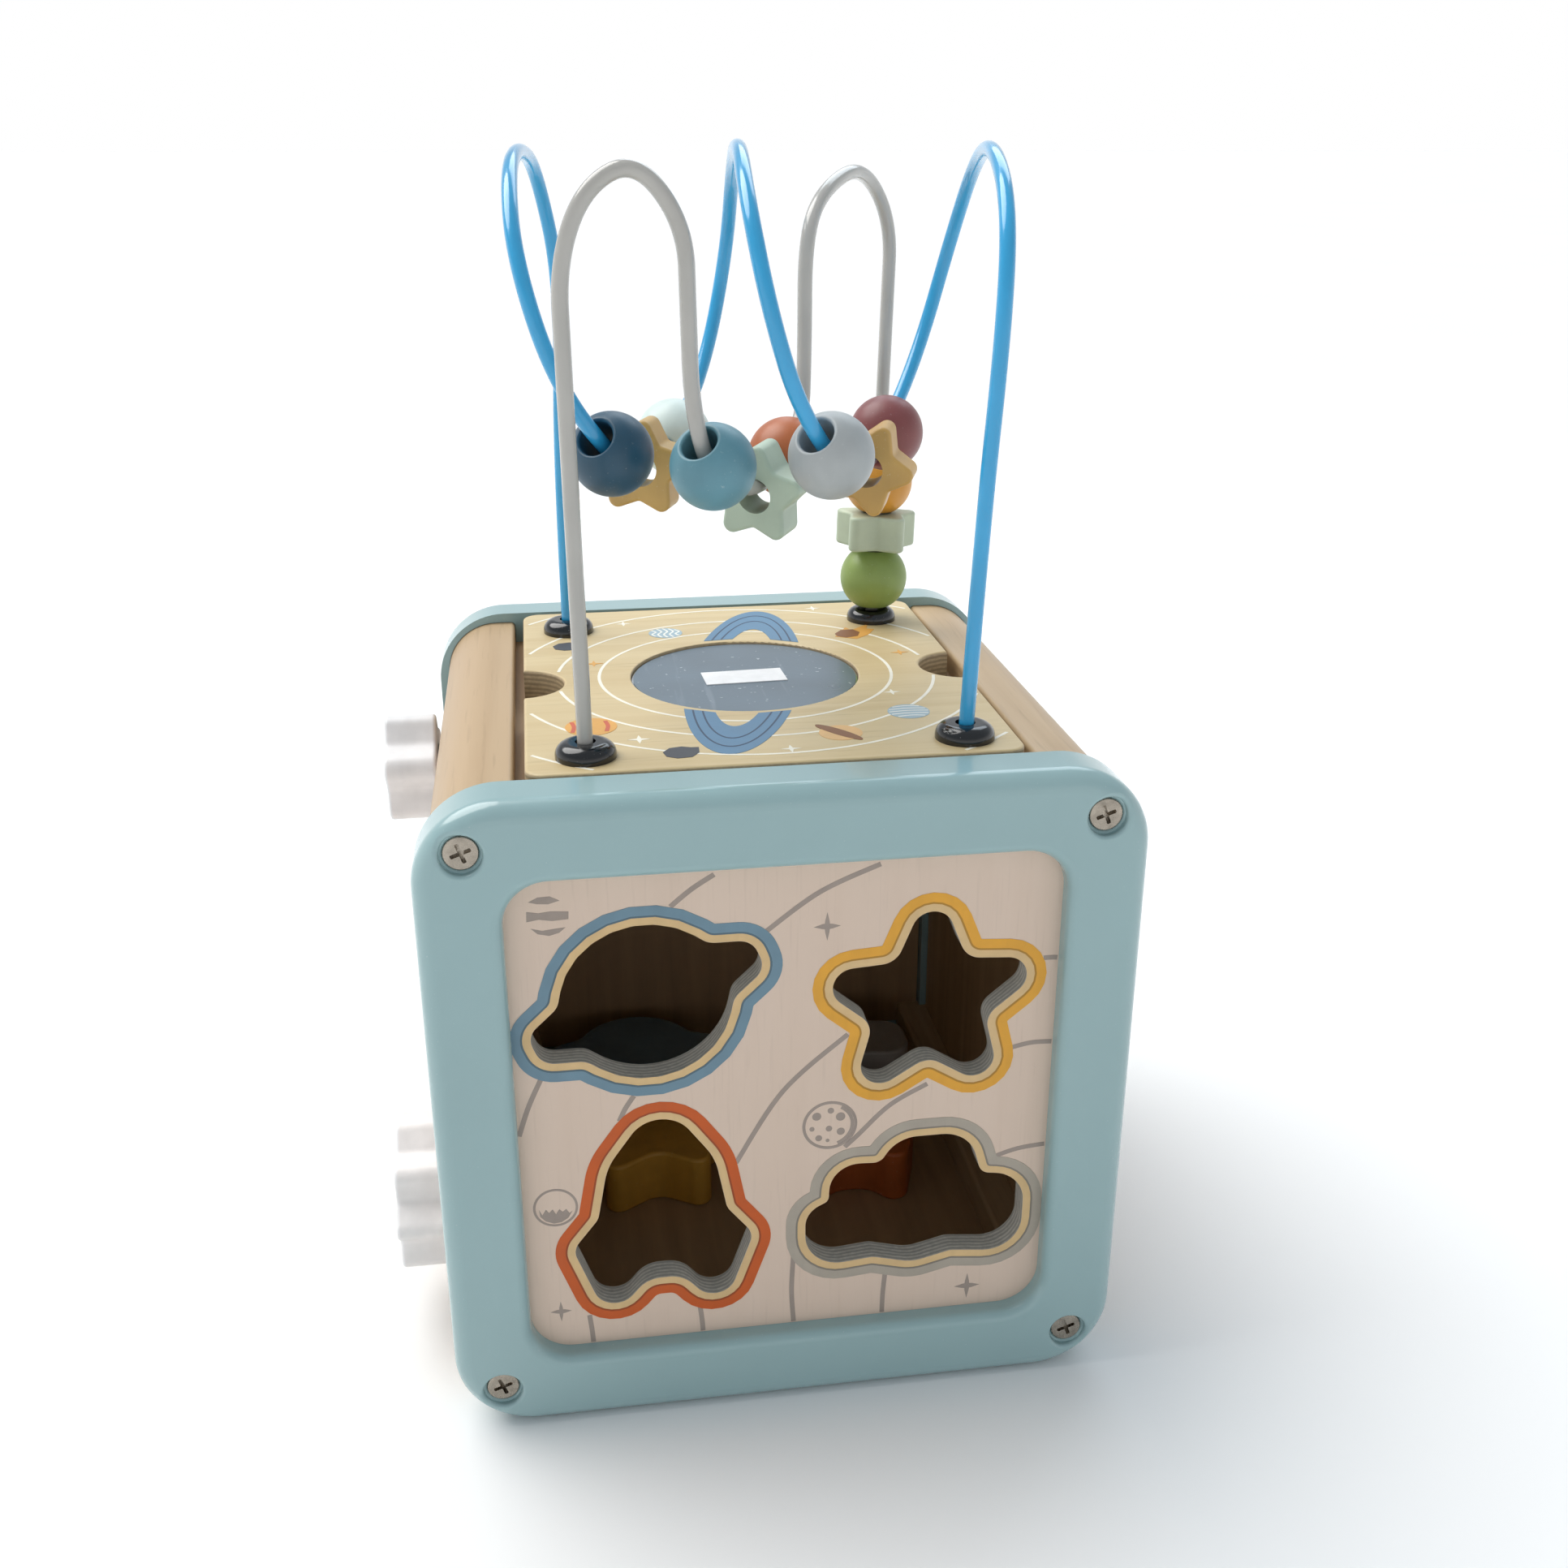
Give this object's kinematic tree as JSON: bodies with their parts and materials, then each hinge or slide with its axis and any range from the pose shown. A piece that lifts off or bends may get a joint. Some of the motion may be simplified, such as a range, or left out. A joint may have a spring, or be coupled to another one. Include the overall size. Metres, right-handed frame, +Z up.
{
  "type": "baby activity cube",
  "caption": "Wooden baby activity cube with a shape sorter front, lift-off lid with mirror, bead wires on top and side spinners.",
  "frame": {"origin": "centre of the bounding box on the surface the cube stands on; the cube itself sits 7 mm to +X because the spinners stand out to -X", "axes": "+X to the right of the sorter panel, +Y from the sorter panel to the back, +Z up"},
  "size_m": [0.174, 0.16, 0.2866],
  "materials": {
    "frame_plastic": "glossy moulded, pale duck-egg blue",
    "screw_nickel": "nickel plated",
    "post_wood": "clear-coated solid wood, long grain",
    "sorter_print": "plywood with a printed pale face",
    "panel_wood": "plywood, satin",
    "rail_wood": "plain softwood",
    "lid_wood": "printed birch plywood, satin",
    "mirror_acrylic": "mirrored acrylic",
    "film": "thin protective film",
    "label_paper": "blank label",
    "nut_steel": "plain steel",
    "black_plastic": "glossy black",
    "wire_blue": "glossy coating on steel wire",
    "wire_grey": "glossy coating on steel wire",
    "paint_dark_blue": "satin paint on wood",
    "paint_mint_white": "satin paint on wood",
    "paint_light_grey": "satin paint on wood",
    "paint_mauve": "satin paint on wood",
    "paint_light_blue": "satin paint on wood",
    "paint_orange": "satin paint on wood",
    "paint_green": "satin paint on wood",
    "paint_yellow": "satin paint on wood",
    "paint_mustard": "satin paint on wood",
    "paint_pale_mint": "satin paint on wood",
    "spinner_white": "satin white paint on wood",
    "dowel_wood": "plain hardwood dowel",
    "block_blue_grey": "satin paint on wood",
    "block_mustard": "satin paint on wood",
    "block_orange": "satin paint on wood",
    "block_grey": "satin paint on wood"
  },
  "bodies": {
    "cube": {"front_frame": "frame_plastic", "back_frame": "frame_plastic", "front_screws": "screw_nickel", "back_screws": "screw_nickel", "left_bottom_post": "post_wood", "left_top_post": "post_wood", "right_bottom_post": "post_wood", "right_top_post": "post_wood", "sorter_panel": "sorter_print", "back_panel": "panel_wood", "left_panel": "panel_wood", "right_panel": "panel_wood", "bottom_panel": "panel_wood", "left_lid_rail": "rail_wood", "right_lid_rail": "rail_wood", "star_spinner_axle": "dowel_wood", "cog_spinner_axle": "dowel_wood", "star_spinner_spacer": "black_plastic", "cog_spinner_spacer": "black_plastic", "star_spinner_retainer": "dowel_wood", "cog_spinner_retainer": "dowel_wood"},
    "lid": {"lid_panel": "lid_wood", "mirror_disc": "mirror_acrylic", "mirror_film": "film", "film_label": "label_paper", "grommet_front_left": "black_plastic", "grommet_back_left": "black_plastic", "grommet_back_right": "black_plastic", "grommet_front_right": "black_plastic", "wire_nuts": "nut_steel", "blue_wire": "wire_blue", "grey_wire": "wire_grey"},
    "dark_blue_bead": {"dark_blue_bead": "paint_dark_blue"},
    "front_left_star": {"front_left_star": "paint_mustard"},
    "mint_white_bead": {"mint_white_bead": "paint_mint_white"},
    "light_grey_bead": {"light_grey_bead": "paint_light_grey"},
    "front_right_star": {"front_right_star": "paint_mustard"},
    "mauve_bead": {"mauve_bead": "paint_mauve"},
    "light_blue_bead": {"light_blue_bead": "paint_light_blue"},
    "middle_star": {"middle_star": "paint_pale_mint"},
    "orange_bead": {"orange_bead": "paint_orange"},
    "green_bead": {"green_bead": "paint_green"},
    "back_right_star": {"back_right_star": "paint_pale_mint"},
    "yellow_bead": {"yellow_bead": "paint_yellow"},
    "star_spinner": {"star_spinner": "spinner_white"},
    "cog_spinner": {"cog_spinner": "spinner_white"},
    "planet_block": {"planet_block": "block_blue_grey"},
    "star_block": {"star_block": "block_mustard"},
    "rocket_block": {"rocket_block": "block_orange"},
    "cloud_block": {"cloud_block": "block_grey"}
  },
  "joints": [
    {"name": "lid_lift", "type": "slide", "parent": "cube", "child": "lid", "axis": [0, 0, 1], "range_m": [0, 0.06]},
    {"name": "dark_blue_bead_spin", "type": "hinge", "parent": "lid", "child": "dark_blue_bead", "pos_m": [-0.02589, -0.03221, 0.22197], "axis": [0.4602, 0.6796, -0.5712], "continuous": true},
    {"name": "front_left_star_spin", "type": "hinge", "parent": "lid", "child": "front_left_star", "pos_m": [-0.0169, -0.0056, 0.2142], "axis": [0.3458, 0.9383, -0.0057], "continuous": true},
    {"name": "mint_white_bead_spin", "type": "hinge", "parent": "lid", "child": "mint_white_bead", "pos_m": [-0.00821, 0.01467, 0.21752], "axis": [0.4088, 0.8513, 0.3288], "continuous": true},
    {"name": "light_grey_bead_spin", "type": "hinge", "parent": "lid", "child": "light_grey_bead", "pos_m": [0.01969, -0.04965, 0.22351], "axis": [0.5226, 0.5527, -0.6492], "continuous": true},
    {"name": "front_right_star_spin", "type": "hinge", "parent": "lid", "child": "front_right_star", "pos_m": [0.03666, -0.00687, 0.21285], "axis": [0.3473, 0.9361, 0.0558], "continuous": true},
    {"name": "mauve_bead_spin", "type": "hinge", "parent": "lid", "child": "mauve_bead", "pos_m": [0.04504, 0.01325, 0.21742], "axis": [0.4188, 0.8216, 0.3868], "continuous": true},
    {"name": "light_blue_bead_spin", "type": "hinge", "parent": "lid", "child": "light_blue_bead", "pos_m": [-0.00537, -0.04791, 0.22156], "axis": [0.4261, 0.5326, -0.7313], "continuous": true},
    {"name": "middle_star_spin", "type": "hinge", "parent": "lid", "child": "middle_star", "pos_m": [0.00813, -0.02557, 0.21153], "axis": [0.516, 0.8531, 0.0776], "continuous": true},
    {"name": "orange_bead_spin", "type": "hinge", "parent": "lid", "child": "orange_bead", "pos_m": [0.01577, -0.01333, 0.21688], "axis": [0.4645, 0.745, 0.4787], "continuous": true},
    {"name": "green_bead_slide", "type": "slide", "parent": "lid", "child": "green_bead", "axis": [0.0293, 0, 0.9996], "range_m": [0, 0.014]},
    {"name": "back_right_star_slide", "type": "slide", "parent": "green_bead", "child": "back_right_star", "axis": [0.0293, 0, 0.9996], "range_m": [0, 0.014]},
    {"name": "yellow_bead_slide", "type": "slide", "parent": "back_right_star", "child": "yellow_bead", "axis": [0.0293, 0, 0.9996], "range_m": [0, 0.014]},
    {"name": "star_spinner_turn", "type": "hinge", "parent": "cube", "child": "star_spinner", "pos_m": [-0.08, 0.038, 0.1255], "axis": [1, 0, 0], "continuous": true},
    {"name": "cog_spinner_turn", "type": "hinge", "parent": "cube", "child": "cog_spinner", "pos_m": [-0.08, -0.028, 0.034], "axis": [1, 0, 0], "continuous": true},
    {"name": "planet_block_lift", "type": "slide", "parent": "cube", "child": "planet_block", "axis": [0, 0, 1], "range_m": [0, 0.1]},
    {"name": "star_block_lift", "type": "slide", "parent": "cube", "child": "star_block", "axis": [0, 0, 1], "range_m": [0, 0.1]},
    {"name": "rocket_block_lift", "type": "slide", "parent": "cube", "child": "rocket_block", "axis": [0, 0, 1], "range_m": [0, 0.1]},
    {"name": "cloud_block_lift", "type": "slide", "parent": "cube", "child": "cloud_block", "axis": [0, 0, 1], "range_m": [0, 0.1]}
  ]
}
